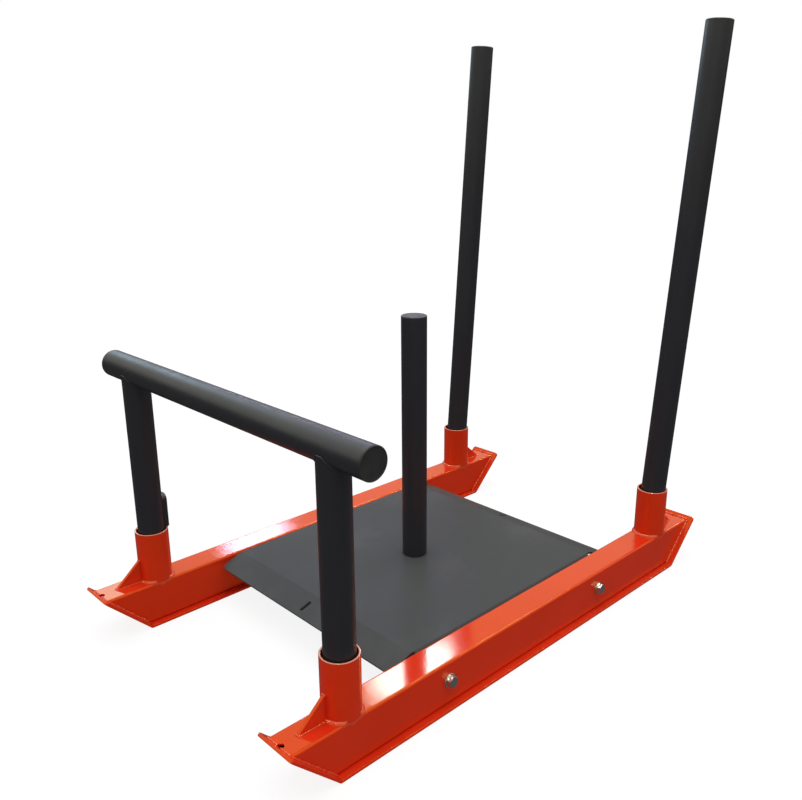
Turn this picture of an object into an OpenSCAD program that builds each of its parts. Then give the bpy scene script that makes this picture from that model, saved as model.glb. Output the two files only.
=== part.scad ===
// Push sled: two skid rails, a weight deck with a plate post, a low push bar and two tall push poles.
// X runs across the sled, Y along the rails with the tall poles at +Y, and Z up from the floor.

/* [Rails] */
// Distance between the centre lines of the two rails
rail_spacing = 550; // [400:1:900]
// Width of the rectangular rail tube
rail_w = 56; // [50:1:80]
// Height of the rectangular rail tube
rail_h = 76; // [66:1:110]
// Wall of the rail tube
rail_wall = 3; // [2:0.5:5]
// Outer corner radius of the rail tube
rail_corner_r = 4.5; // [3.5:0.5:8]
// Diameter of the drain hole behind each lip
drain_hole_d = 11; // [6:0.5:14]
// Distance from the top end of the rail to the drain hole's centre
drain_hole_inset = 3; // [2:0.5:12]

/* [Skids] */
// Width of the skid plate
skid_w = 80; // [66:1:110]
// Thickness of the skid plate
skid_t = 5; // [4:0.5:10]
// Length of the flat part of the skid plate
skid_flat = 906; // [800:1:1300]
// Angle of the turned-up lips
lip_angle = 45; // [35:1:55]
// Height of a lip's inner edge above the top of the rail
lip_rise = 6; // [0.5:0.5:12]
// Radius of the lip's free corners
lip_corner_r = 6; // [2:0.5:20]

/* [Sockets] */
// Gap all round between a socket and the tube that stands in it
socket_clear = 2.8; // [1:0.1:3]
// Wall of the socket tube
socket_wall = 3.2; // [2:0.1:5]
// Height of the sockets above the rail
socket_h = 97; // [60:1:140]
// Distance from the top end of the rail to the socket's axis
socket_inset = 110; // [105:1:180]
// Length of a gusset along the rail
gusset_len = 48; // [25:1:60]
// Height of a gusset against its socket
gusset_h = 42; // [20:1:60]
// Thickness of a gusset
gusset_t = 6; // [4:0.5:12]
// Leg length of the weld round a socket's foot
weld_leg = 4; // [2.5:0.5:6]

/* [Deck] */
// Length of the deck's level part along the rails
deck_len = 492; // [400:1:640]
// Thickness of the deck plate
deck_t = 4; // [3:0.5:6]
// Length of the strips bent down at the front and the rear
strip_len = 50; // [42:1:90]
// Angle by which the strips are bent down
strip_angle = 18; // [8:1:30]
// Corner radius of the strips
strip_corner_r = 15; // [3:1:35]
// Step from the deck's full width to the strips, on each side
strip_inset = 4; // [2:0.5:12]
// Depth of the side flanges below the deck's top
flange_drop = 60; // [50:1:68]
// Inner radius of the bend between deck and flange
flange_bend_r = 3; // [1:0.5:8]
// Length of the level part that has no flange, at each end
flange_relief = 6; // [4:0.5:15]
// Width of the slot in each strip
slot_w = 7; // [5:0.5:12]
// Length of the slot in each strip
slot_len = 26; // [16:1:30]
// Distance from the bend to the slot's centre
slot_inset = 27; // [20:1:30]

/* [Deck bolts] */
// Thread diameter of the deck bolts
bolt_d = 12; // [8:1:14]
// Gap all round between a bolt and its hole
bolt_clear = 0.5; // [0.2:0.1:1]
// Depth of the bolts below the deck's top
bolt_drop = 33; // [26:1:40]
// Distance from the front end of the level deck to the front bolts
front_bolt_inset = 26; // [24:1:90]
// Distance from the rear end of the level deck to the rear bolts
rear_bolt_inset = 54; // [24:1:90]
// Outer diameter of the washers
washer_d = 24; // [24:1:30]
// Thickness of the washers
washer_t = 2.5; // [1.5:0.5:4]

/* [Tubes] */
// Outer diameter of the post, the push bar, its legs and the tall poles
tube_d = 48.3; // [40:0.1:50.5]
// Wall of these tubes
tube_wall = 3.2; // [2:0.1:5]
// Thickness of the end caps' rim
cap_t = 3; // [2:0.5:8]
// Width of the bevel round a flat cap
cap_bevel = 1.2; // [0.5:0.1:1.5]
// Depth of the plug behind each cap
cap_plug = 14; // [6:1:30]

/* [Post] */
// Height of the weight post above the deck, with its cap
post_h = 479; // [250:1:700]
// Thread diameter of the bolt that holds the post
post_bolt_d = 16; // [10:1:20]
// Height of the threaded plug in the post's foot
foot_plug_h = 22; // [14:1:40]

/* [Push bar] */
// Height of the push bar's axis above the floor
bar_z = 482; // [350:1:700]
// Distance from a leg's axis to the bar's end
bar_overhang = 80; // [40:1:140]
// Width of the stop lug on the left leg
lug_w = 24; // [10:1:32]
// Height of the stop lug
lug_h = 64; // [24:1:90]
// Distance by which the stop lug stands out from the leg
lug_proud = 6.5; // [3:0.5:12]
// Corner radius of the stop lug as a share of its width
lug_roundness = 0.45; // [0.1:0.05:0.48]

/* [Tall poles] */
// Length of a tall pole with its cap
pole_len = 983; // [700:1:1300]
// Direction in which the loose poles lean, from +X towards +Y
lean_heading = 46.6; // [0:0.1:90]
// Gap left where a leaning pole comes nearest to its socket
lean_slack = 0.35; // [0.2:0.05:0.8]

/* [Hidden] */

powder_red = [0.86, 0.22, 0.08];
weld_red = [0.92, 0.38, 0.22];
satin_black = [0.1, 0.1, 0.11];
deck_grey = [0.34, 0.34, 0.34];
zinc = [0.76, 0.77, 0.79];

$fn = 96;
left = -1;
right = 1;
front = -1;
rear = 1;
// Length of cutters that must pass right through
through = 400;
// Gap between a lifted-out piece and what it stands on
seat_gap = 0.3;
// Gap all round in threads and round plugs
snug_gap = 0.1;
// Fall of the weld under a socket's overhang, for each millimetre of overhang
overhang_slope = 4;

rail_x = rail_spacing / 2;
rail_base = skid_t;
rail_top = rail_base + rail_h;
rail_gap = rail_spacing - rail_w;

// The lip's bend turns about the inner corner, where the rail's sloping end starts
bend_y = skid_flat / 2 - skid_t * tan(lip_angle / 2);
rail_end_y = bend_y + rail_h / tan(lip_angle);
lip_len = (rail_h + lip_rise) / sin(lip_angle);

tube_r = tube_d / 2;
tube_bore_r = tube_r - tube_wall;
socket_bore_r = tube_r + socket_clear;
socket_r = socket_bore_r + socket_wall;
socket_y = rail_end_y - socket_inset;
drain_hole_y = rail_end_y - drain_hole_inset;

deck_base = rail_top - deck_t;
deck_bend_y = deck_len / 2;
strip_half_w = rail_gap / 2 - strip_inset;
front_bolt_y = front_bolt_inset - deck_bend_y;
rear_bolt_y = deck_bend_y - rear_bolt_inset;
bolt_z = rail_top - bolt_drop;
bolt_hole_r = bolt_d / 2 + bolt_clear;
bolt_hex_d = 1.5 * bolt_d / cos(30);
bolt_head_h = 0.62 * bolt_d;
nut_h = 0.85 * bolt_d;
// Bolts reach through both rail walls, the flange and the nut
bolt_grip = rail_w + deck_t + nut_h + 3;
head_bevel = 0.06 * bolt_d;

post_hex_d = 1.5 * post_bolt_d / cos(30);
post_head_h = 0.62 * post_bolt_d;
post_washer_d = 2.1 * post_bolt_d;
post_washer_t = 3;

bar_half = rail_x + bar_overhang;
// The legs stop short of the bar's axis, so that the cope has no feather edge
leg_top = bar_z - tube_r / 4;

pole_lean = atan((socket_clear - lean_slack) / (socket_h / 2));
// The leaning foot's low edge stays clear of the rail
pole_foot_lift = seat_gap + tube_r * sin(pole_lean);
pole_tube_len = pole_len - cap_t;

// Flat shapes

module round_rect(w, h, r) {
    square([w, h - 2 * r], center = true);
    square([w - 2 * r, h], center = true);
    for (x = [-1, 1], y = [-1, 1])
        translate([x * (w / 2 - r), y * (h / 2 - r)])
            circle(r);
}

// A tab that stands on the X axis, with its two free corners rounded
module round_tab(w, len, r) {
    translate([-w / 2, 0])
        square([w, len - r]);
    translate([r - w / 2, 0])
        square([w - 2 * r, len]);
    for (x = [-1, 1])
        translate([x * (w / 2 - r), len - r])
            circle(r);
}

module slot_outline(w, len) {
    square([w, len - w], center = true);
    for (y = [-1, 1])
        translate([0, y * (len - w) / 2])
            circle(w / 2);
}

// A sector of a ring that starts straight down and turns towards +X
module bend_section(inner_r, t, angle) {
    reach = 2 * (inner_r + t);
    intersection() {
        difference() {
            circle(inner_r + t);
            if (inner_r > 0)
                circle(inner_r);
        }
        polygon([[0, 0], [0, -reach], [reach * sin(angle), -reach * cos(angle)]]);
    }
}

// Placing helpers

// Turns a flat shape drawn in X and Z into a bar along Y
module along_y(len) {
    rotate([90, 0, 0])
        linear_extrude(len, center = true)
            children();
}

// Turns a flat shape drawn in Y and Z into a plate across X
module across_x(w) {
    rotate([90, 0, 90])
        linear_extrude(w, center = true)
            children();
}

module at_socket(side, end) {
    translate([side * rail_x, end * socket_y, rail_top])
        scale_end(end)
            children();
}

// Front pieces are the mirror image of rear pieces
module scale_end(end) {
    if (end < 0)
        mirror([0, 1, 0])
            children();
    else
        children();
}

module tube(r, wall, h) {
    difference() {
        cylinder(r = r, h = h);
        translate([0, 0, -1])
            cylinder(r = r - wall, h = h + 2);
    }
}

module at_deck_bolts() {
    for (side = [left, right], y = [front_bolt_y, rear_bolt_y])
        translate([side * rail_x, y, bolt_z])
            rotate([0, side * 90, 0])
                children();
}

// Rails and skids

module rail_profile() {
    translate([0, rail_base + rail_h / 2])
        round_rect(rail_w, rail_h, rail_corner_r);
}

module rail_bore_profile() {
    translate([0, rail_base + rail_h / 2])
        round_rect(rail_w - 2 * rail_wall, rail_h - 2 * rail_wall, max(rail_corner_r - rail_wall, 0.5));
}

// Side view of the rail, with its ends mitred onto the lips
module rail_side_outline() {
    polygon([
        [-bend_y, rail_base], [bend_y, rail_base],
        [rail_end_y, rail_top], [-rail_end_y, rail_top],
    ]);
}

module rail(side) {
    color(powder_red)
    difference() {
        translate([side * rail_x, 0, 0])
            intersection() {
                along_y(2 * rail_end_y + 10)
                    difference() {
                        rail_profile();
                        rail_bore_profile();
                    }
                across_x(rail_w + 10)
                    rail_side_outline();
            }
        at_deck_bolts()
            cylinder(r = bolt_hole_r, h = rail_w + 10, center = true);
        for (end = [front, rear])
            translate([side * rail_x, end * drain_hole_y, rail_top - rail_wall - 1])
                cylinder(d = drain_hole_d, h = rail_wall + 2);
    }
}

module skid(side) {
    color(powder_red)
    translate([side * rail_x, 0, 0]) {
        translate([-skid_w / 2, -bend_y, 0])
            cube([skid_w, 2 * bend_y, skid_t]);
        for (end = [front, rear])
            scale_end(end)
                translate([0, bend_y, skid_t]) {
                    across_x(skid_w)
                        bend_section(0, skid_t, lip_angle);
                    rotate([lip_angle, 0, 0])
                        translate([0, 0, -skid_t])
                            linear_extrude(skid_t)
                                round_tab(skid_w, lip_len, lip_corner_r);
                }
    }
}

// Sockets, gussets and their welds

module socket(side, end) {
    color(powder_red)
    at_socket(side, end)
        tube(socket_r, socket_wall, socket_h);
}

module gusset_blank() {
    tip = gusset_t / 3;
    across_x(gusset_t)
        polygon([
            [socket_r - 2, 0], [socket_r + gusset_len, 0], [socket_r + gusset_len, tip],
            [socket_r + tip, gusset_h], [socket_r - 2, gusset_h],
        ]);
}

module gusset(side, end) {
    color(powder_red)
    at_socket(side, end)
        difference() {
            gusset_blank();
            translate([0, 0, -1])
                cylinder(r = socket_r, h = socket_h);
        }
}

// The weld's fillet on the rail's top, which also fills the rail's round edges under the socket
module foot_fillet() {
    toe = weld_leg / 6;
    intersection() {
        rotate_extrude()
            polygon([
                [socket_bore_r, -rail_corner_r], [socket_r + weld_leg, -rail_corner_r],
                [socket_r + weld_leg, toe], [socket_r + toe, weld_leg], [socket_r, weld_leg],
                [socket_r, 0], [socket_bore_r, 0],
            ]);
        cube([rail_w, through, through], center = true);
    }
}

// The weld's slope from the rail's side out to a socket that is wider than the rail
module overhang_fillet() {
    rail_half = rail_w / 2;
    drop = overhang_slope * (socket_r - rail_half);
    if (drop > weld_leg)
        rotate_extrude()
            polygon([[rail_half - 1, -drop], [rail_half, -drop], [socket_r, 0], [rail_half - 1, 0]]);
}

module socket_weld() {
    flat_half = rail_w / 2 - rail_corner_r + 1;
    difference() {
        union() {
            foot_fillet();
            overhang_fillet();
        }
        translate([0, 0, -rail_top])
            along_y(through)
                rail_profile();
        translate([-flat_half, -through / 2, -through])
            cube([2 * flat_half, through, through]);
        gusset_blank();
    }
}

module socket_welds() {
    color(weld_red)
    for (side = [left, right], end = [front, rear])
        at_socket(side, end)
            socket_weld();
}

// Deck

module deck_section() {
    half = rail_gap / 2;
    turn_r = flange_bend_r + deck_t;
    translate([turn_r - half, deck_base])
        square([2 * (half - turn_r), deck_t]);
    for (side = [0, 1])
        mirror([side, 0]) {
            translate([half - turn_r, rail_top - turn_r])
                rotate(90)
                    bend_section(flange_bend_r, deck_t, 90);
            translate([half - deck_t, rail_top - flange_drop])
                square([deck_t, flange_drop - turn_r]);
        }
}

module end_strip() {
    translate([0, deck_bend_y, deck_base]) {
        mirror([0, 0, 1])
            across_x(2 * strip_half_w)
                bend_section(0, deck_t, strip_angle);
        rotate([-strip_angle, 0, 0])
            linear_extrude(deck_t)
                difference() {
                    round_tab(2 * strip_half_w, strip_len, strip_corner_r);
                    translate([0, slot_inset])
                        slot_outline(slot_w, slot_len);
                }
    }
}

module deck_plate() {
    color(deck_grey)
    difference() {
        union() {
            along_y(deck_len - 2 * flange_relief)
                deck_section();
            translate([-strip_half_w, -deck_bend_y, deck_base])
                cube([2 * strip_half_w, deck_len, deck_t]);
            for (end = [front, rear])
                scale_end(end)
                    end_strip();
        }
        at_deck_bolts()
            cylinder(r = bolt_hole_r, h = rail_w + 4 * deck_t, center = true);
        translate([0, 0, deck_base - 1])
            cylinder(d = post_bolt_d + 2 * bolt_clear, h = deck_t + 2);
    }
}

// Fasteners

module hex_head(hex_d, h, bevel) {
    intersection() {
        cylinder(d = hex_d, h = h, $fn = 6);
        union() {
            cylinder(d = hex_d, h = h - bevel);
            translate([0, 0, h - bevel])
                cylinder(d1 = hex_d, d2 = hex_d - 4 * bevel, h = bevel);
        }
    }
}

module deck_bolts() {
    color(zinc)
    at_deck_bolts() {
        translate([0, 0, rail_w / 2 + washer_t])
            hex_head(bolt_hex_d, bolt_head_h, head_bevel);
        translate([0, 0, rail_w / 2 - bolt_grip])
            cylinder(d = bolt_d, h = bolt_grip + washer_t);
    }
}

module deck_washers() {
    color(zinc)
    at_deck_bolts()
        translate([0, 0, rail_w / 2])
            tube(washer_d / 2, washer_d / 2 - bolt_hole_r, washer_t);
}

module deck_nuts() {
    color(zinc)
    at_deck_bolts()
        translate([0, 0, -rail_w / 2 - deck_t])
            mirror([0, 0, 1])
                difference() {
                    hex_head(bolt_hex_d, nut_h, head_bevel);
                    translate([0, 0, -1])
                        cylinder(r = bolt_d / 2 + snug_gap, h = nut_h + 2);
                }
}

// Caps for the tube ends, standing on the tube's end face

module cap_plug_section() {
    plug_r = tube_bore_r - snug_gap;
    translate([plug_r - 3, -cap_plug])
        square([3, cap_plug + cap_t / 2]);
}

// A flat cap with a bevelled rim round a slightly sunk disc
module flat_cap() {
    sink = cap_t / 6;
    disc_r = tube_r - 2 * cap_bevel;
    rotate_extrude() {
        polygon([
            [0, 0], [tube_r, 0], [tube_r, cap_t - cap_bevel], [tube_r - cap_bevel, cap_t],
            [disc_r, cap_t], [disc_r, cap_t - sink], [0, cap_t - sink],
        ]);
        cap_plug_section();
    }
}

// A cap with a rounded edge
module round_cap() {
    edge = 0.8 * cap_t;
    rotate_extrude() {
        square([tube_r, cap_t - edge]);
        square([tube_r - edge, cap_t]);
        translate([tube_r - edge, cap_t - edge])
            intersection() {
                circle(edge);
                square(edge + 1);
            }
        cap_plug_section();
    }
}

// Weight post

module weight_post() {
    color(satin_black)
    translate([0, 0, rail_top])
        tube(tube_r, tube_wall, post_h - cap_t);
}

module post_cap() {
    color(satin_black)
    translate([0, 0, rail_top + post_h - cap_t])
        flat_cap();
}

module post_foot_plug() {
    color(zinc)
    translate([0, 0, rail_top])
        tube(tube_bore_r - snug_gap, tube_bore_r - post_bolt_d / 2 - 2 * snug_gap, foot_plug_h);
}

module post_bolt() {
    color(zinc)
    translate([0, 0, deck_base - post_washer_t]) {
        mirror([0, 0, 1])
            hex_head(post_hex_d, post_head_h, 0.06 * post_bolt_d);
        cylinder(d = post_bolt_d, h = post_washer_t + deck_t + foot_plug_h - 2);
    }
}

module post_washer() {
    color(zinc)
    translate([0, 0, deck_base - post_washer_t])
        tube(post_washer_d / 2, (post_washer_d - post_bolt_d) / 2 - bolt_clear, post_washer_t);
}

// Push bar, its legs and its caps

module at_bar_end(side) {
    translate([side * (bar_half - cap_t), -socket_y, bar_z])
        rotate([0, side * 90, 0])
            children();
}

module push_bar() {
    color(satin_black)
    translate([cap_t - bar_half, -socket_y, bar_z])
        rotate([0, 90, 0])
            tube(tube_r, tube_wall, 2 * (bar_half - cap_t));
}

module bar_leg(side) {
    leg_base = rail_top + seat_gap;
    color(satin_black)
    difference() {
        translate([side * rail_x, -socket_y, leg_base])
            tube(tube_r, tube_wall, leg_top - leg_base);
        translate([side * rail_x, -socket_y, bar_z])
            rotate([0, 90, 0])
                cylinder(r = tube_r, h = 4 * tube_d, center = true);
    }
}

module bar_cap(side) {
    color(satin_black)
    at_bar_end(side)
        flat_cap();
}

// The lug stands on the socket's rim, at the rear of the left leg
module leg_stop_lug() {
    color(satin_black)
    translate([left * rail_x, -socket_y, rail_top + socket_h + seat_gap])
        difference() {
            rotate([90, 0, 180])
                linear_extrude(tube_r + lug_proud)
                    round_tab(lug_w, lug_h, lug_w * lug_roundness);
            translate([0, 0, -1])
                cylinder(r = tube_r, h = lug_h + 2);
        }
}

// Tall poles

module at_pole(side) {
    translate([side * rail_x, socket_y, rail_top + socket_h / 2])
        rotate([0, 0, lean_heading])
            rotate([0, pole_lean, 0])
                translate([0, 0, (pole_foot_lift - socket_h / 2) / cos(pole_lean)])
                    children();
}

module pole(side) {
    color(satin_black)
    at_pole(side)
        tube(tube_r, tube_wall, pole_tube_len);
}

module pole_cap(side) {
    color(satin_black)
    at_pole(side)
        translate([0, 0, pole_tube_len])
            round_cap();
}

rail(left);  // rail_left
rail(right);  // rail_right
skid(left);  // skid_left
skid(right);  // skid_right
socket(left, front);  // socket_front_left
socket(right, front);  // socket_front_right
socket(left, rear);  // socket_rear_left
socket(right, rear);  // socket_rear_right
gusset(left, front);  // gusset_front_left
gusset(right, front);  // gusset_front_right
gusset(left, rear);  // gusset_rear_left
gusset(right, rear);  // gusset_rear_right
socket_welds();
deck_plate();
deck_bolts();
deck_washers();
deck_nuts();
weight_post();
post_cap();
post_foot_plug();
post_bolt();
post_washer();
push_bar();
bar_leg(left);  // bar_leg_left
bar_leg(right);  // bar_leg_right
bar_cap(left);  // bar_cap_left
bar_cap(right);  // bar_cap_right
leg_stop_lug();
pole(left);  // pole_left
pole(right);  // pole_right
pole_cap(left);  // pole_cap_left
pole_cap(right);  // pole_cap_right
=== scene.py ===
"""A push sled: glossy powder-coated runners, satin black tubes, a grey deck and bright fasteners."""
import logging
import math
from dataclasses import dataclass, replace
from enum import Enum
from typing import Iterable, Sequence

import bmesh
import bpy
from mathutils import Matrix, Vector


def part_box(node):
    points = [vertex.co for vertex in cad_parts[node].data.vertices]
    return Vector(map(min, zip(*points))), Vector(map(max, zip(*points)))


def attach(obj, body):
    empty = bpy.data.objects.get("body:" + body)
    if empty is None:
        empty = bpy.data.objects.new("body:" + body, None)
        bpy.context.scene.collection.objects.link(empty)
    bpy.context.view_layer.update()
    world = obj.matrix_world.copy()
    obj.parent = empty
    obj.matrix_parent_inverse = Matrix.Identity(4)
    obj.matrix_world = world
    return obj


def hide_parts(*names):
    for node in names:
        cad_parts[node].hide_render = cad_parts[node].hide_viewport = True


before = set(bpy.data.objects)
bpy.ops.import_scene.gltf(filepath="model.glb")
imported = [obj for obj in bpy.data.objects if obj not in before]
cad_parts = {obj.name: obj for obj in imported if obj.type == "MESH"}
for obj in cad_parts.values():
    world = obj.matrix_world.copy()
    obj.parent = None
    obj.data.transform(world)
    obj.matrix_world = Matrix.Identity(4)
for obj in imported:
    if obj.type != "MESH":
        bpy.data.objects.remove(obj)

LOG = logging.getLogger("push_sled")
MM = 0.001
MERGE_DISTANCE = 1e-6
FLAT_ANGLE = math.radians(0.4)
SHARP_ANGLE = math.radians(28.0)

Colour = tuple[float, float, float]
Point = tuple[float, float, float]


class Body(Enum):
    """The bodies that the sled's pieces ride on."""

    FRAME = "frame"
    PUSH_BAR = "push_bar"
    POLE_LEFT = "pole_left"
    POLE_RIGHT = "pole_right"


class Slot(Enum):
    """The record's material slots."""

    POWDER_RED = "powder_red"
    WELD_RED = "weld_red"
    DECK_GREY = "deck_grey"
    SATIN_BLACK = "satin_black"
    CAP_BLACK = "cap_black"
    ZINC = "zinc"


# Finishes


class ShaderSheet:
    """A short way to lay out the nodes of one material."""

    def __init__(self, name: str) -> None:
        """Starts an empty material.

        Args:
            name: The material's name.
        """
        self.material = bpy.data.materials.new(name)
        self.material.use_nodes = True
        self.tree = self.material.node_tree
        self.tree.nodes.clear()
        self.output = self.tree.nodes.new("ShaderNodeOutputMaterial")
        self.surface = self.tree.nodes.new("ShaderNodeBsdfPrincipled")
        self.tree.links.new(self.surface.outputs["BSDF"], self.output.inputs["Surface"])
        self.place = self.tree.nodes.new("ShaderNodeTexCoord").outputs["Object"]

    def link(self, source: bpy.types.NodeSocket, target: bpy.types.NodeSocket) -> None:
        """Joins two sockets of the material."""
        self.tree.links.new(source, target)

    def noise(self, scale: float, detail: float = 3.0, rough: float = 0.5,
              stretch: Point = (1.0, 1.0, 1.0)) -> bpy.types.NodeSocket:
        """A noise pattern on object coordinates.

        Args:
            scale: Cells per metre.
            detail: Octaves of the noise.
            rough: Weight of the finer octaves.
            stretch: Scale along X, Y and Z before the noise is read.

        Returns:
            The noise's value socket.
        """
        mapping = self.tree.nodes.new("ShaderNodeMapping")
        mapping.inputs["Scale"].default_value = stretch
        self.link(self.place, mapping.inputs["Vector"])
        node = self.tree.nodes.new("ShaderNodeTexNoise")
        node.inputs["Scale"].default_value = scale
        node.inputs["Detail"].default_value = detail
        node.inputs["Roughness"].default_value = rough
        self.link(mapping.outputs["Vector"], node.inputs["Vector"])
        return node.outputs["Fac"]

    def cells(self, scale: float) -> bpy.types.NodeSocket:
        """Distance to the nearest cell centre of a Voronoi pattern.

        Args:
            scale: Cells per metre.

        Returns:
            The distance socket.
        """
        node = self.tree.nodes.new("ShaderNodeTexVoronoi")
        node.inputs["Scale"].default_value = scale
        self.link(self.place, node.inputs["Vector"])
        return node.outputs["Distance"]

    def spread(self, value: bpy.types.NodeSocket, low: float, high: float,
               to_low: float, to_high: float) -> bpy.types.NodeSocket:
        """Maps a value's range onto another, clamped.

        Args:
            value: The socket to map.
            low: Value that gives to_low.
            high: Value that gives to_high.
            to_low: Result at low.
            to_high: Result at high.

        Returns:
            The mapped socket.
        """
        node = self.tree.nodes.new("ShaderNodeMapRange")
        node.inputs["From Min"].default_value = low
        node.inputs["From Max"].default_value = high
        node.inputs["To Min"].default_value = to_low
        node.inputs["To Max"].default_value = to_high
        self.link(value, node.inputs["Value"])
        return node.outputs["Result"]

    def blend(self, factor: bpy.types.NodeSocket, first: Colour, second: Colour) -> bpy.types.NodeSocket:
        """Mixes two colours.

        Args:
            factor: Share of the second colour.
            first: Colour at 0.
            second: Colour at 1.

        Returns:
            The mixed colour socket.
        """
        node = self.tree.nodes.new("ShaderNodeMix")
        node.data_type = "RGBA"
        node.inputs[6].default_value = (*first, 1.0)
        node.inputs[7].default_value = (*second, 1.0)
        self.link(factor, node.inputs[0])
        return node.outputs[2]

    def blend_onto(self, factor: bpy.types.NodeSocket, below: bpy.types.NodeSocket,
                   colour: Colour) -> bpy.types.NodeSocket:
        """Mixes a colour onto a colour socket.

        Args:
            factor: Share of the new colour.
            below: The colour socket underneath.
            colour: The new colour.

        Returns:
            The mixed colour socket.
        """
        node = self.tree.nodes.new("ShaderNodeMix")
        node.data_type = "RGBA"
        self.link(below, node.inputs[6])
        node.inputs[7].default_value = (*colour, 1.0)
        self.link(factor, node.inputs[0])
        return node.outputs[2]

    def axis(self, name: str) -> bpy.types.NodeSocket:
        """Reads one of the object coordinates.

        Args:
            name: X, Y or Z.

        Returns:
            The coordinate's socket.
        """
        node = self.tree.nodes.new("ShaderNodeSeparateXYZ")
        self.link(self.place, node.inputs[0])
        return node.outputs[name]

    def bumps(self, layers: Sequence[tuple[bpy.types.NodeSocket, float, float]]) -> None:
        """Stacks bump layers onto the surface.

        Args:
            layers: Height socket, strength and depth in metres of each layer.
        """
        below = None
        for height, strength, depth in layers:
            node = self.tree.nodes.new("ShaderNodeBump")
            node.inputs["Strength"].default_value = strength
            node.inputs["Distance"].default_value = depth
            self.link(height, node.inputs["Height"])
            if below is not None:
                self.link(below, node.inputs["Normal"])
            below = node.outputs["Normal"]
        self.link(below, self.surface.inputs["Normal"])


@dataclass(frozen=True)
class PowderCoat:
    """Glossy powder coat with orange peel and a slow drift of tone."""

    name: str
    base: Colour
    deep: Colour
    roughness: float
    gloss: float
    peel_scale: float
    peel_depth: float
    rim_height: float | None = None
    # On a rim this pale colour stands for rubbed wear and a painted highlight.
    rubbed: Colour = (0.86, 0.5, 0.42)
    sheen: Colour = (0.9, 1.0, 0.14)
    drift_scale: float = 7.0
    haze_scale: float = 38.0
    grit_scale: float = 1900.0
    rim_fade: tuple[float, float] = (0.6 * MM, 0.2 * MM)
    rim_wear_and_highlight_share: float = 0.7

    def material(self) -> bpy.types.Material:
        """Returns the finished material, with a pale band along a rim where it has one: rubbed wear and a
        painted highlight.
        """
        sheet = ShaderSheet(self.name)
        drift = sheet.spread(sheet.noise(self.drift_scale, 2.0), 0.35, 0.65, 0.0, 1.0)
        coat = sheet.blend(drift, self.base, self.deep)
        # Pale band at the rim's top, by height: rubbed wear and a painted highlight on the rim.
        if self.rim_height is not None:
            start, full = (self.rim_height - below for below in self.rim_fade)
            rim = sheet.spread(sheet.axis("Z"), start, full, 0.0, self.rim_wear_and_highlight_share)
            coat = sheet.blend_onto(rim, coat, self.rubbed)
        sheet.link(coat, sheet.surface.inputs["Base Color"])
        haze = sheet.spread(sheet.noise(self.haze_scale, 4.0), 0.3, 0.7,
                            self.roughness * 0.8, self.roughness * 1.3)
        sheet.link(haze, sheet.surface.inputs["Roughness"])
        sheet.surface.inputs["Specular IOR Level"].default_value = self.gloss
        sheet.surface.inputs["Specular Tint"].default_value = (*self.sheen, 1.0)
        peel = sheet.noise(self.peel_scale, 2.0, 0.4)
        grit = sheet.cells(self.grit_scale)
        sheet.bumps([(peel, 0.5, self.peel_depth), (grit, 0.12, self.peel_depth * 0.3)])
        return sheet.material


@dataclass(frozen=True)
class SatinPaint:
    """Satin powder coat on tube or sheet, with fine texture and faint handling marks."""

    name: str
    base: Colour
    rubbed: Colour
    roughness: float
    gloss: float
    grain_scale: float
    grain_depth: float
    mark_stretch: Point
    index: float = 1.5
    sheen: Colour = (0.92, 0.92, 1.0)
    mark_scale: float = 16.0
    pit_share: float = 0.6

    def material(self) -> bpy.types.Material:
        """Returns the finished material."""
        sheet = ShaderSheet(self.name)
        marks = sheet.noise(self.mark_scale, 6.0, 0.6, self.mark_stretch)
        worn = sheet.spread(marks, 0.52, 0.78, 0.0, 1.0)
        sheet.link(sheet.blend(worn, self.base, self.rubbed), sheet.surface.inputs["Base Color"])
        haze = sheet.spread(marks, 0.3, 0.75, self.roughness * 1.12, self.roughness * 0.82)
        sheet.link(haze, sheet.surface.inputs["Roughness"])
        sheet.surface.inputs["IOR"].default_value = self.index
        sheet.surface.inputs["Specular IOR Level"].default_value = self.gloss
        sheet.surface.inputs["Specular Tint"].default_value = (*self.sheen, 1.0)
        fine = sheet.noise(self.grain_scale, 2.0, 0.5)
        pits = sheet.cells(self.grain_scale * self.pit_share)
        sheet.bumps([(fine, 0.45, self.grain_depth), (pits, 0.2, self.grain_depth * self.pit_share)])
        return sheet.material


@dataclass(frozen=True)
class MouldedCap:
    """Black moulded plastic with a fine matt grain."""

    name: str
    base: Colour
    roughness: float
    tone_scale: float = 60.0
    tone_rise: float = 1.35
    grain_scale: float = 1500.0
    grain_depth: float = 0.00012

    def material(self) -> bpy.types.Material:
        """Returns the finished material."""
        sheet = ShaderSheet(self.name)
        tone = sheet.spread(sheet.noise(self.tone_scale, 3.0), 0.35, 0.65, 0.0, 1.0)
        lighter = tuple(channel * self.tone_rise for channel in self.base)
        sheet.link(sheet.blend(tone, self.base, lighter), sheet.surface.inputs["Base Color"])
        sheet.link(sheet.spread(tone, 0.0, 1.0, self.roughness, self.roughness * 1.2),
                   sheet.surface.inputs["Roughness"])
        sheet.bumps([(sheet.noise(self.grain_scale, 2.0), 0.4, self.grain_depth)])
        return sheet.material


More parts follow.
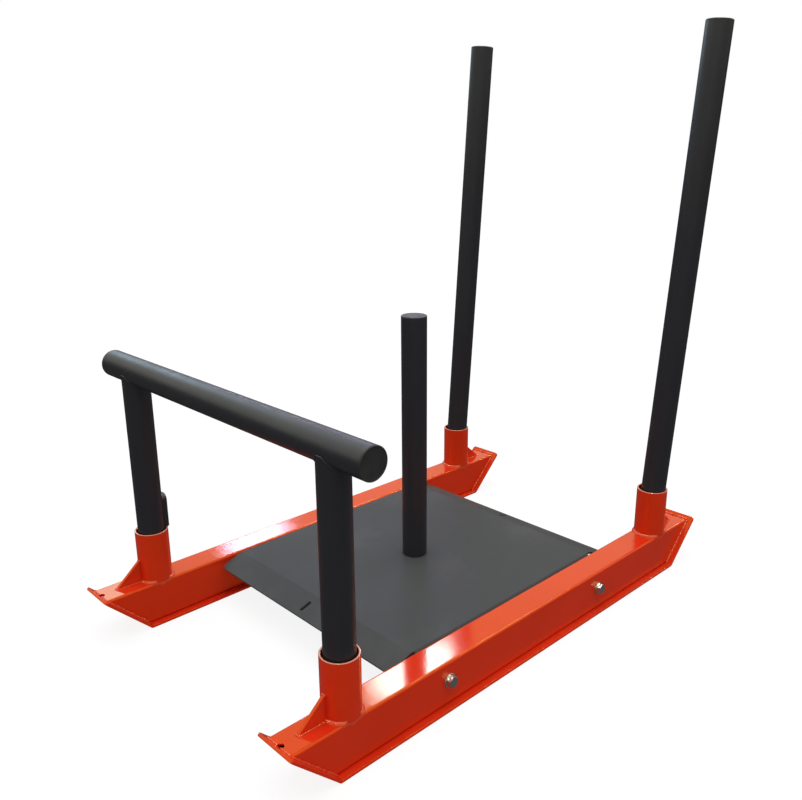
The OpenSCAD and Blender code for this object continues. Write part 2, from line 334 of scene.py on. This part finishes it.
@dataclass(frozen=True)
class BrightZinc:
    """Bright zinc plate with shallow dents and a faint drawn grain."""

    name: str
    base: Colour
    roughness: float
    cloud_scale: float = 240.0
    cloud_fall: float = 0.72
    dent_scale: float = 260.0
    dent_depth: float = 0.0015
    grain_scale: float = 900.0
    grain_depth: float = 0.00005
    grain_stretch: Point = (0.15, 1.0, 1.0)

    def material(self) -> bpy.types.Material:
        """Returns the finished material."""
        sheet = ShaderSheet(self.name)
        cloud = sheet.spread(sheet.noise(self.cloud_scale, 4.0), 0.3, 0.7, 0.0, 1.0)
        darker = tuple(channel * self.cloud_fall for channel in self.base)
        sheet.link(sheet.blend(cloud, self.base, darker), sheet.surface.inputs["Base Color"])
        sheet.surface.inputs["Metallic"].default_value = 1.0
        sheet.link(sheet.spread(cloud, 0.0, 1.0, self.roughness, self.roughness * 1.6),
                   sheet.surface.inputs["Roughness"])
        dents = sheet.noise(self.dent_scale, 1.0)
        grain = sheet.noise(self.grain_scale, 2.0, 0.5, self.grain_stretch)
        sheet.bumps([(dents, 0.8, self.dent_depth), (grain, 0.25, self.grain_depth)])
        return sheet.material


class Paints:
    """One material for each slot, made once."""

    def __init__(self) -> None:
        """Builds every finish of the sled."""
        red = PowderCoat("Powder red", base=(0.79, 0.03, 0.009), deep=(0.74, 0.026, 0.007),
                         roughness=0.1, gloss=0.74, peel_scale=210.0, peel_depth=0.00007)
        # The weld coat is a lighter, more orange red than the rails' coat: a painted highlight on the
        # beads.
        weld = PowderCoat("Powder red on weld, lightened as painted highlight", base=(0.85, 0.07, 0.02), deep=(0.78, 0.05, 0.014),
                          roughness=0.2, gloss=1.0, peel_scale=700.0, peel_depth=0.0003,
                          sheen=(0.9, 0.95, 0.6))
        deck = SatinPaint("Deck grey", base=(0.065, 0.0665, 0.0665), rubbed=(0.087, 0.0875, 0.086),
                          roughness=0.5, gloss=0.5, grain_scale=1100.0, grain_depth=0.0002,
                          mark_stretch=(0.45, 0.3, 1.0), index=1.2)
        black = SatinPaint("Satin black", base=(0.0128, 0.0138, 0.0195), rubbed=(0.017, 0.018, 0.024),
                           roughness=0.42, gloss=0.87, grain_scale=1300.0, grain_depth=0.00018,
                           mark_stretch=(1.0, 1.0, 0.45))
        self.by_slot: dict[Slot, bpy.types.Material] = {
            Slot.POWDER_RED: red.material(),
            Slot.WELD_RED: weld.material(),
            Slot.DECK_GREY: deck.material(),
            Slot.SATIN_BLACK: black.material(),
            Slot.CAP_BLACK: MouldedCap("Cap black", base=(0.02, 0.02, 0.021), roughness=0.45).material(),
            Slot.ZINC: BrightZinc("Bright zinc", base=(0.84, 0.82, 0.78), roughness=0.26).material(),
        }
        # The sockets' coat has a pale band at its rim: rubbed wear and a painted highlight.
        socket_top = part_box("socket_front_left")[1][2]
        self.socket_red_with_rim_highlight = replace(red, name="Powder red with rubbed rim and painted highlight", rim_height=socket_top).material()

    def __getitem__(self, slot: Slot) -> bpy.types.Material:
        """Returns the material of a slot."""
        return self.by_slot[slot]


# Making and placing pieces


def add_object(name: str, mesh: bpy.types.Mesh) -> bpy.types.Object:
    """Puts a mesh into the scene at the origin.

    Args:
        name: The object's name.
        mesh: Its mesh, in metres in the sled's frame.

    Returns:
        The new object.
    """
    piece = bpy.data.objects.new(name, mesh)
    bpy.context.scene.collection.objects.link(piece)
    return piece


def settle(piece: bpy.types.Object) -> bpy.types.Object:
    """Turns a piece with live modifiers into a plain mesh.

    Args:
        piece: The object to settle.

    Returns:
        The same object, with its modifiers baked into its mesh.
    """
    bpy.context.view_layer.update()
    graph = bpy.context.evaluated_depsgraph_get()
    final = bpy.data.meshes.new_from_object(piece.evaluated_get(graph))
    piece.modifiers.clear()
    piece.data = final
    final.name = piece.name
    return piece


def hand_over(piece: bpy.types.Object, slot: Slot, body: Body, paints: Paints,
              finish: bpy.types.Material | None = None) -> None:
    """Gives a finished piece its material and hangs it on the body it rides on.

    Args:
        piece: The finished object.
        slot: The material slot it takes.
        body: The body it rides on.
        paints: The sled's materials.
        finish: A material of its own, where it has one.
    """
    piece.data.materials.clear()
    piece.data.materials.append(finish or paints[slot])
    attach(piece, body.value)
    LOG.info("%s rides on %s", piece.name, body.value)


def soften(node: str, edge: float, segments: int = 3) -> bpy.types.Object:
    """Copies a CAD node as one skin and rounds its sharp edges.

    Args:
        node: The CAD node's name.
        edge: Radius of the rounded edges, in metres.
        segments: Faces across each rounded edge.

    Returns:
        The new object.
    """
    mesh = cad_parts[node].data.copy()
    skin = bmesh.new()
    skin.from_mesh(mesh)
    bmesh.ops.remove_doubles(skin, verts=skin.verts, dist=MERGE_DISTANCE)
    bmesh.ops.dissolve_limit(skin, angle_limit=FLAT_ANGLE, verts=skin.verts, edges=skin.edges)
    for face in skin.faces:
        face.smooth = True
    skin.to_mesh(mesh)
    skin.free()
    mesh.materials.clear()
    piece = add_object(f"{node}_skin", mesh)
    rounding = piece.modifiers.new("Rounding", "BEVEL")
    rounding.limit_method = "ANGLE"
    rounding.angle_limit = SHARP_ANGLE
    rounding.width = edge
    rounding.segments = segments
    rounding.use_clamp_overlap = True
    even = piece.modifiers.new("Even shading", "WEIGHTED_NORMAL")
    even.mode = "FACE_AREA"
    even.weight = 100
    settle(piece)
    return piece


def dress(nodes: Iterable[str], edge: float, slot: Slot, body: Body, paints: Paints,
          finish: bpy.types.Material | None = None) -> None:
    """Replaces CAD nodes with softened copies of themselves.

    Args:
        nodes: The CAD nodes.
        edge: Radius of the rounded edges, in metres.
        slot: The material slot they take.
        body: The body they ride on.
        paints: The sled's materials.
        finish: A material of their own, where they have one.
    """
    for node in nodes:
        piece = soften(node, edge)
        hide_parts(node)
        hand_over(piece, slot, body, paints, finish)


def centre_of(node: str) -> Vector:
    """Returns the middle of a CAD node's box."""
    low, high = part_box(node)
    return (Vector(low) + Vector(high)) / 2


# Weld beads


class WeldTree:
    """A node tree that lays overlapping droplets along every edge chain of a mesh."""

    INPUTS = (
        ("Path", "NodeSocketGeometry", None),
        ("Bead Radius", "NodeSocketFloat", 0.0025),
        ("Ripple Pitch", "NodeSocketFloat", 0.0026),
        ("Unevenness", "NodeSocketFloat", 0.12),
        ("Seed", "NodeSocketInt", 1),
        ("Finish", "NodeSocketMaterial", None),
    )
    DROPLET_SMOOTHNESS = 3
    DROPLET_STRETCH = 1.15

    def __init__(self) -> None:
        """Builds the tree and its inputs."""
        self.tree = bpy.data.node_groups.new("Weld bead", "GeometryNodeTree")
        for name, kind, value in self.INPUTS:
            socket = self.tree.interface.new_socket(name, in_out="INPUT", socket_type=kind)
            if value is not None:
                socket.default_value = value
        self.tree.interface.new_socket("Bead", in_out="OUTPUT", socket_type="NodeSocketGeometry")
        self.build()

    def node(self, kind: str, **settings: object) -> bpy.types.Node:
        """Adds a node and sets its properties.

        Args:
            kind: The node's type.
            settings: Its properties, by name.

        Returns:
            The new node.
        """
        made = self.tree.nodes.new(kind)
        for key, value in settings.items():
            setattr(made, key, value)
        return made

    def link(self, source: bpy.types.NodeSocket, target: bpy.types.NodeSocket) -> None:
        """Joins two sockets of the tree."""
        self.tree.links.new(source, target)

    def build(self) -> None:
        """Lays out the nodes: path, even points, droplets with slightly uneven size, one mesh."""
        given = self.node("NodeGroupInput")
        result = self.node("NodeGroupOutput")
        to_curve = self.node("GeometryNodeMeshToCurve")
        points = self.node("GeometryNodeCurveToPoints", mode="LENGTH")
        droplet = self.node("GeometryNodeMeshIcoSphere")
        droplet.inputs["Radius"].default_value = 1.0
        droplet.inputs["Subdivisions"].default_value = self.DROPLET_SMOOTHNESS
        place = self.node("GeometryNodeInstanceOnPoints")
        along = self.node("ShaderNodeMath", operation="MULTIPLY")
        along.inputs[1].default_value = self.DROPLET_STRETCH
        size = self.node("ShaderNodeCombineXYZ")
        wobble = self.node("FunctionNodeRandomValue", data_type="FLOAT")
        lowest = self.node("ShaderNodeMath", operation="SUBTRACT")
        lowest.inputs[0].default_value = 1.0
        highest = self.node("ShaderNodeMath", operation="ADD")
        highest.inputs[0].default_value = 1.0
        vary = self.node("ShaderNodeVectorMath", operation="SCALE")
        realize = self.node("GeometryNodeRealizeInstances")
        smooth = self.node("GeometryNodeSetShadeSmooth")
        finish = self.node("GeometryNodeSetMaterial")

        self.link(given.outputs["Path"], to_curve.inputs["Mesh"])
        self.link(to_curve.outputs["Curve"], points.inputs["Curve"])
        self.link(given.outputs["Ripple Pitch"], points.inputs["Length"])
        self.link(points.outputs["Points"], place.inputs["Points"])
        self.link(points.outputs["Rotation"], place.inputs["Rotation"])
        self.link(droplet.outputs["Mesh"], place.inputs["Instance"])
        self.link(given.outputs["Bead Radius"], size.inputs["X"])
        self.link(given.outputs["Bead Radius"], size.inputs["Y"])
        self.link(given.outputs["Ripple Pitch"], along.inputs[0])
        self.link(along.outputs[0], size.inputs["Z"])
        self.link(given.outputs["Unevenness"], lowest.inputs[1])
        self.link(given.outputs["Unevenness"], highest.inputs[1])
        self.link(lowest.outputs[0], wobble.inputs[2])
        self.link(highest.outputs[0], wobble.inputs[3])
        self.link(given.outputs["Seed"], wobble.inputs["Seed"])
        self.link(size.outputs[0], vary.inputs[0])
        self.link(wobble.outputs[1], vary.inputs["Scale"])
        self.link(vary.outputs["Vector"], place.inputs["Scale"])
        self.link(place.outputs["Instances"], realize.inputs["Geometry"])
        self.link(realize.outputs["Geometry"], smooth.inputs["Geometry"])
        self.link(smooth.outputs["Geometry"], finish.inputs["Geometry"])
        self.link(given.outputs["Finish"], finish.inputs["Material"])
        self.link(finish.outputs["Geometry"], result.inputs["Bead"])

    def identifier(self, name: str) -> str:
        """Returns the identifier of an input socket."""
        return next(item.identifier for item in self.tree.interface.items_tree
                    if item.item_type == "SOCKET" and item.in_out == "INPUT" and item.name == name)

    def lay(self, name: str, paths: Sequence[Sequence[Point]], radius: float, seed: int,
            finish: bpy.types.Material, ripple: float = 1.05, unevenness: float = 0.12) -> bpy.types.Object:
        """Lays beads along paths.

        Args:
            name: Name of the new piece.
            paths: Chains of points, in metres.
            radius: Radius of the bead.
            seed: Seed of the droplets' unevenness.
            finish: The bead's material.
            ripple: Distance between droplets, as a share of the radius.
            unevenness: Share by which the droplets' sizes differ.

        Returns:
            The beads as one plain mesh object.
        """
        mesh = bpy.data.meshes.new(name)
        points: list[Point] = []
        edges: list[tuple[int, int]] = []
        for path in paths:
            start = len(points)
            points.extend(path)
            edges.extend((index, index + 1) for index in range(start, len(points) - 1))
        mesh.from_pydata([tuple(point) for point in points], edges, [])
        piece = add_object(name, mesh)
        layer = piece.modifiers.new("Bead", "NODES")
        layer.node_group = self.tree
        for key, value in (("Bead Radius", radius), ("Ripple Pitch", radius * ripple),
                           ("Unevenness", unevenness), ("Seed", seed), ("Finish", finish)):
            layer[self.identifier(key)] = value
        return settle(piece)


# Sub-assemblies


@dataclass
class Runners:
    """The two rails with their skids, sockets, gussets and welds."""

    paints: Paints
    welder: WeldTree
    rail_edge: float = 0.6 * MM
    skid_edge: float = 0.9 * MM
    socket_edge: float = 1.1 * MM
    gusset_edge: float = 0.8 * MM
    rail_corner: float = 4.5 * MM
    drain_gap: float = 7.0 * MM
    front_seam_radius: float = 1.6 * MM
    rear_seam_radius: float = 2.1 * MM
    seam_shares: tuple[float, ...] = (0.02, 0.25, 0.5, 0.75, 0.955)
    seam_out: float = 0.35
    seam_back: float = 0.8 * MM
    top_seam_back: float = 0.6 * MM
    top_seam_lift: float = 0.2 * MM
    seam_seed: int = 11
    foot_radius: float = 2.6 * MM
    foot_out: float = 0.9 * MM
    foot_inset: float = 1.5 * MM
    foot_steps: int = 40
    foot_seed: int = 23
    gusset_radius: float = 1.4 * MM
    gusset_lift: float = 0.3 * MM
    gusset_tip_gap: float = 2.0 * MM
    blob_radius: float = 2.1 * MM
    blob_inset: float = 1.0 * MM
    blob_reach: float = 1.2 * MM
    gusset_seed: int = 31

    def build(self) -> None:
        """Dresses every red piece and lays its welds."""
        sides = ("left", "right")
        ends = ("front", "rear")
        dress([f"rail_{side}" for side in sides], self.rail_edge, Slot.POWDER_RED, Body.FRAME, self.paints)
        dress([f"skid_{side}" for side in sides], self.skid_edge, Slot.POWDER_RED, Body.FRAME, self.paints)
        dress([f"socket_{end}_{side}" for end in ends for side in sides],
              self.socket_edge, Slot.POWDER_RED, Body.FRAME, self.paints, self.paints.socket_red_with_rim_highlight)
        dress([f"gusset_{end}_{side}" for end in ends for side in sides],
              self.gusset_edge, Slot.POWDER_RED, Body.FRAME, self.paints)
        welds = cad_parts["socket_welds"]
        welds.data.materials.clear()
        welds.data.materials.append(self.paints[Slot.WELD_RED])
        for side in sides:
            self.seams(side)
            for end in ends:
                self.foot(side, end)
                self.gusset_beads(side, end)

    def seams(self, side: str) -> None:
        """Lays the beads where a rail's mitred ends meet the lips.

        Args:
            side: left or right.
        """
        low, high = (Vector(corner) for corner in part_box(f"rail_{side}"))
        rise = high.z - low.z
        top_y = high.y
        base_y = top_y - rise
        for end, sign, radius in (("front", -1, self.front_seam_radius),
                                  ("rear", 1, self.rear_seam_radius)):
            paths = []
            out = radius * self.seam_out
            for x in (low.x - out, high.x + out):
                run = [(x, sign * (base_y + share * rise - self.seam_back), low.z + share * rise)
                       for share in self.seam_shares]
                paths.append(run)
            inset = self.rail_corner
            middle = (low.x + high.x) / 2
            for left, right in ((low.x + inset, middle - self.drain_gap),
                                (middle + self.drain_gap, high.x - inset)):
                paths.append([(x, sign * (top_y - self.top_seam_back), high.z + self.top_seam_lift)
                              for x in (left, right)])
            piece = self.welder.lay(f"lip_seam_{end}_{side}", paths, radius, self.seam_seed,
                                    self.paints[Slot.WELD_RED], ripple=1.7, unevenness=0.3)
            hand_over(piece, Slot.WELD_RED, Body.FRAME, self.paints)

    def foot(self, side: str, end: str) -> None:
        """Lays the beads at the front and rear of a socket's foot, across the rail's top.

        Args:
            side: left or right.
            end: front or rear.
        """
        low, high = (Vector(corner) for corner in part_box(f"socket_{end}_{side}"))
        rail_low, rail_high = (Vector(corner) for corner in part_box(f"rail_{side}"))
        centre = (low + high) / 2
        radius = (high.x - low.x) / 2 + self.foot_out
        half = (rail_high.x - rail_low.x) / 2
        flat = half - self.rail_corner
        first = math.acos((half - self.foot_inset) / radius)
        paths = []
        for begin in (first, first + math.pi):
            path = []
            for step in range(self.foot_steps + 1):
                turn = begin + (math.pi - 2 * first) * step / self.foot_steps
                across = radius * math.cos(turn)
                over = max(abs(across) - flat, 0.0)
                drop = self.rail_corner - math.sqrt(self.rail_corner ** 2 - over ** 2)
                path.append((centre.x + across, centre.y + radius * math.sin(turn),
                             low.z + self.foot_out - drop))
            paths.append(path)
        piece = self.welder.lay(f"foot_weld_{end}_{side}", paths, self.foot_radius, self.foot_seed,
                                self.paints[Slot.WELD_RED])
        hand_over(piece, Slot.WELD_RED, Body.FRAME, self.paints)

    def gusset_beads(self, side: str, end: str) -> None:
        """Lays a thin bead along each side of a gusset's foot, and a blob at its tip and its top.

        Args:
            side: left or right.
            end: front or rear.
        """
        low, high = (Vector(corner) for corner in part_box(f"gusset_{end}_{side}"))
        near, far = (low.y, high.y) if end == "rear" else (high.y, low.y)
        sign = 1 if end == "rear" else -1
        lift = self.gusset_lift
        feet = [[(x, near, low.z + lift), (x, far - sign * self.gusset_tip_gap, low.z + lift)]
                for x in (low.x - lift, high.x + lift)]
        tip = [(x, far + sign * lift, low.z + lift) for x in (low.x, high.x)]
        top = [(x, near + sign * self.blob_reach, high.z)
               for x in (low.x + self.blob_inset, high.x - self.blob_inset)]
        blobs = [tip, top]
        for name, paths, radius in (("foot", feet, self.gusset_radius), ("blobs", blobs, self.blob_radius)):
            piece = self.welder.lay(f"gusset_{name}_{end}_{side}", paths, radius, self.gusset_seed,
                                    self.paints[Slot.WELD_RED], unevenness=0.2)
            hand_over(piece, Slot.WELD_RED, Body.FRAME, self.paints)


@dataclass
class Deck:
    """The folded deck plate, the weight post and their fasteners."""

    paints: Paints
    plate_edge: float = 0.7 * MM
    post_edge: float = 0.3 * MM
    cap_edge: float = 0.25 * MM
    bolt_edge: float = 0.35 * MM
    washer_edge: float = 0.3 * MM

    def build(self) -> None:
        """Dresses the deck, the post and the fasteners."""
        dress(["deck_plate"], self.plate_edge, Slot.DECK_GREY, Body.FRAME, self.paints)
        dress(["weight_post"], self.post_edge, Slot.SATIN_BLACK, Body.FRAME, self.paints)
        dress(["post_cap"], self.cap_edge, Slot.CAP_BLACK, Body.FRAME, self.paints)
        dress(["deck_bolts", "deck_nuts", "post_bolt"], self.bolt_edge, Slot.ZINC, Body.FRAME, self.paints)
        dress(["deck_washers", "post_washer", "post_foot_plug"],
              self.washer_edge, Slot.ZINC, Body.FRAME, self.paints)


@dataclass
class PushBar:
    """The low push bar on its two legs."""

    paints: Paints
    welder: WeldTree
    tube_edge: float = 0.5 * MM
    cap_edge: float = 0.25 * MM
    bead_radius: float = 1.2 * MM
    saddle_spread: float = 1.02
    saddle_drop: float = 0.4 * MM
    saddle_least: float = 5 * MM
    saddle_steps: int = 72
    saddle_seed: int = 47

    def build(self) -> None:
        """Dresses the bar and lays the beads round its legs."""
        dress(["push_bar", "bar_leg_left", "bar_leg_right", "leg_stop_lug"], self.tube_edge,
              Slot.SATIN_BLACK, Body.PUSH_BAR, self.paints)
        dress(["bar_cap_left", "bar_cap_right"], self.cap_edge, Slot.CAP_BLACK, Body.PUSH_BAR, self.paints)
        for side in ("left", "right"):
            self.saddle(side)

    def saddle(self, side: str) -> None:
        """Lays the bead along the saddle where a leg meets the bar.

        Args:
            side: left or right.
        """
        bar_low, bar_high = (Vector(corner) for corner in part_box("push_bar"))
        bar_radius = (bar_high.z - bar_low.z) / 2
        axis_z = (bar_high.z + bar_low.z) / 2
        middle = centre_of(f"bar_leg_{side}")
        path = []
        for step in range(self.saddle_steps + 1):
            turn = 2 * math.pi * step / self.saddle_steps
            across = bar_radius * math.cos(turn)
            along = bar_radius * math.sin(turn)
            below = math.sqrt(max(bar_radius ** 2 - along ** 2, self.saddle_least ** 2))
            path.append((middle.x + across * self.saddle_spread, middle.y + along,
                         axis_z - below - self.saddle_drop))
        piece = self.welder.lay(f"saddle_weld_{side}", [path], self.bead_radius, self.saddle_seed,
                                self.paints[Slot.SATIN_BLACK], ripple=0.8, unevenness=0.05)
        hand_over(piece, Slot.SATIN_BLACK, Body.PUSH_BAR, self.paints)


@dataclass
class TallPoles:
    """The two tall poles and their caps."""

    paints: Paints
    pole_edge: float = 0.4 * MM
    cap_edge: float = 0.2 * MM

    def build(self) -> None:
        """Dresses both poles."""
        for side, body in (("left", Body.POLE_LEFT), ("right", Body.POLE_RIGHT)):
            dress([f"pole_{side}"], self.pole_edge, Slot.SATIN_BLACK, body, self.paints)
            dress([f"pole_cap_{side}"], self.cap_edge, Slot.CAP_BLACK, body, self.paints)


# Studio


@dataclass(frozen=True)
class Softbox:
    """A soft rectangular light that looks at a point."""

    name: str
    place: Point
    aim: Point
    size: tuple[float, float]
    power: float
    tint: Colour = (1.0, 1.0, 1.0)
    mirrored_only: bool = True

    def build(self) -> None:
        """Adds the light to the scene."""
        data = bpy.data.lights.new(self.name, "AREA")
        data.shape = "RECTANGLE"
        data.size, data.size_y = self.size
        data.energy = self.power
        data.color = self.tint
        light = bpy.data.objects.new(self.name, data)
        away = Vector(self.place) - Vector(self.aim)
        turn = away.to_track_quat("Z", "Y").to_matrix().to_4x4()
        light.matrix_world = Matrix.Translation(self.place) @ turn
        light.visible_diffuse = not self.mirrored_only
        light.visible_camera = False
        bpy.context.scene.collection.objects.link(light)


@dataclass
class Studio:
    """The pale floor, the lights and the camera at the photograph's angle."""

    camera_place: Point = (1.07102, -1.04784, 0.85484)
    azimuth: float = 46.5805
    pitch: float = 16.9562
    roll: float = 0.4452
    focal_pixels: float = 830.92
    image_width: int = 802
    sensor: float = 36.0
    floor_half: float = 40.0
    floor_tone: float = 0.14
    floor_glow: float = 0.88
    # shade_half and shade_edge size the painted shadow under the deck, where the floor's glow is off.
    shade_half: float = 0.216
    shade_edge: float = 0.016
    room_light: float = 0.49
    ceiling_light: float = 1.85
    ceiling_spread: float = 60.0
    lamp_light: float = 1.8
    lamp_spread: float = 14.0

    def build(self) -> None:
        """Builds the whole studio."""
        self.camera()
        self.floor()
        self.world()
        self.ceiling()
        for light in self.windows():
            light.build()

    def camera(self) -> None:
        """Adds the camera where the photograph was taken from."""
        turn = math.radians(self.azimuth)
        tilt = math.radians(self.pitch)
        bank = math.radians(self.roll)
        forward = Vector((-math.sin(turn) * math.cos(tilt), math.cos(turn) * math.cos(tilt),
                          -math.sin(tilt)))
        level = Vector((math.cos(turn), math.sin(turn), 0.0))
        down = forward.cross(level)
        right = level * math.cos(bank) + down * math.sin(bank)
        below = down * math.cos(bank) - level * math.sin(bank)
        axes = Matrix((right, -below, -forward)).transposed().to_4x4()
        data = bpy.data.cameras.new("Camera")
        data.sensor_width = self.sensor
        data.lens = self.focal_pixels * self.sensor / self.image_width
        data.clip_end = 100.0
        camera = bpy.data.objects.new("Camera", data)
        camera.matrix_world = Matrix.Translation(self.camera_place) @ axes
        bpy.context.scene.collection.objects.link(camera)
        bpy.context.scene.camera = camera

    def floor(self) -> None:
        """Adds the pale floor, which glows evenly but goes dark under the deck as a painted shadow, and
        throws no light onto the sled.
        """
        half = self.floor_half
        tone = self.floor_tone
        corners = [(-half, -half, 0), (half, -half, 0), (half, half, 0), (-half, half, 0)]
        mesh = bpy.data.meshes.new("Floor")
        mesh.from_pydata(corners, [], [(0, 1, 2, 3)])
        sheet = ShaderSheet("Pale floor")
        sheet.surface.inputs["Base Color"].default_value = (tone, tone, tone, 1.0)
        sheet.surface.inputs["Roughness"].default_value = 0.9
        sheet.surface.inputs["Specular IOR Level"].default_value = 0.0
        sheet.surface.inputs["Emission Color"].default_value = (1.0, 1.0, 1.0, 1.0)
        sheet.link(self.glow(sheet), sheet.surface.inputs["Emission Strength"])
        mesh.materials.append(sheet.material)
        floor = add_object("Floor", mesh)
        floor.visible_glossy = False
        floor.visible_diffuse = False
        floor.visible_shadow = False

    def glow(self, sheet: ShaderSheet) -> bpy.types.NodeSocket:
        """Lays out the floor's glow, which fades to nothing under the deck as a painted shadow.

        Args:
            sheet: The floor's material.

        Returns:
            The glow's strength socket.
        """
        out = []
        for name in ("X", "Y"):
            away = sheet.tree.nodes.new("ShaderNodeMath")
            away.operation = "ABSOLUTE"
            sheet.link(sheet.axis(name), away.inputs[0])
            out.append(sheet.spread(away.outputs[0], self.shade_half, self.shade_half + self.shade_edge,
                                    0.0, self.floor_glow))
        # The glow is kept only outside the square under the deck; inside it is a painted shadow.
        glow_outside_painted_shadow = sheet.tree.nodes.new("ShaderNodeMath")
        glow_outside_painted_shadow.operation = "MAXIMUM"
        sheet.link(out[0], glow_outside_painted_shadow.inputs[0])
        sheet.link(out[1], glow_outside_painted_shadow.inputs[1])
        return glow_outside_painted_shadow.outputs[0]

    def world(self) -> None:
        """Adds a dim room with a white backdrop, and leaves the picture's tones as they are."""
        world = bpy.data.worlds.new("Studio")
        world.use_nodes = True
        tree = world.node_tree
        room = tree.nodes["Background"]
        room.inputs["Color"].default_value = (1.0, 1.0, 1.0, 1.0)
        room.inputs["Strength"].default_value = self.room_light
        backdrop = tree.nodes.new("ShaderNodeBackground")
        backdrop.inputs["Color"].default_value = (1.0, 1.0, 1.0, 1.0)
        backdrop.inputs["Strength"].default_value = 1.0
        path = tree.nodes.new("ShaderNodeLightPath")
        mix = tree.nodes.new("ShaderNodeMixShader")
        tree.links.new(path.outputs["Is Camera Ray"], mix.inputs["Fac"])
        tree.links.new(room.outputs["Background"], mix.inputs[1])
        tree.links.new(backdrop.outputs["Background"], mix.inputs[2])
        tree.links.new(mix.outputs["Shader"], tree.nodes["World Output"].inputs["Surface"])
        world.cycles_visibility.glossy = False
        bpy.context.scene.world = world
        bpy.context.scene.view_settings.view_transform = "Standard"

    def overhead(self, name: str, energy: float, spread: float) -> bpy.types.Object:
        """Adds a wide light that shines straight down.

        Args:
            name: The light's name.
            energy: Its strength.
            spread: How wide it looks from the sled, in degrees.

        Returns:
            The new light.
        """
        data = bpy.data.lights.new(name, "SUN")
        data.energy = energy
        data.angle = math.radians(spread)
        light = bpy.data.objects.new(name, data)
        bpy.context.scene.collection.objects.link(light)
        return light

    def ceiling(self) -> None:
        """Adds the soft light from above, and the lamp that the round tubes mirror."""
        self.overhead("Ceiling", self.ceiling_light, self.ceiling_spread).visible_glossy = False
        self.overhead("Lamp", self.lamp_light, self.lamp_spread).visible_diffuse = False

    def windows(self) -> list[Softbox]:
        """Returns the lights that only the gloss mirrors, and a cool window that also lights the sled."""
        window_tint = (0.95, 0.93, 1.9)
        return [
            Softbox("White ceiling", place=(0.0, 0.0, 3.2), aim=(0.0, 0.0, 0.0), size=(24.0, 24.0),
                    power=1550.0, tint=(1.0, 0.98, 0.8)),
            Softbox("Dim floor", place=(0.0, 0.0, -0.02), aim=(0.0, 0.0, 1.0), size=(24.0, 24.0),
                    power=150.0),
            Softbox("Lamp row", place=(0.0, 3.1, 3.0), aim=(0.0, 3.1, 0.0), size=(0.25, 3.4), power=45.0),
            Softbox("Window near", place=(-2.18, 2.14, 2.5), aim=(-2.18, 2.14, 0.0), size=(0.3, 0.64),
                    power=13.0, tint=window_tint),
            Softbox("Window far", place=(-4.46, 2.48, 2.5), aim=(-4.46, 2.48, 0.0), size=(0.34, 0.58),
                    power=10.0, tint=window_tint),
            Softbox("Cool window", place=(-4.0, 0.6, 2.2), aim=(-0.2, -0.1, 0.1), size=(1.4, 1.2),
                    power=16.0, tint=(0.5, 0.75, 1.0), mirrored_only=False),
        ]


def main() -> None:
    """Builds the sled's looks, piece by piece."""
    logging.basicConfig(level=logging.INFO, format="%(name)s: %(message)s")
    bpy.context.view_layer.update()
    paints = Paints()
    welder = WeldTree()
    Studio().build()
    Runners(paints, welder).build()
    Deck(paints).build()
    PushBar(paints, welder).build()
    TallPoles(paints).build()


if __name__ == "__main__":
    main()
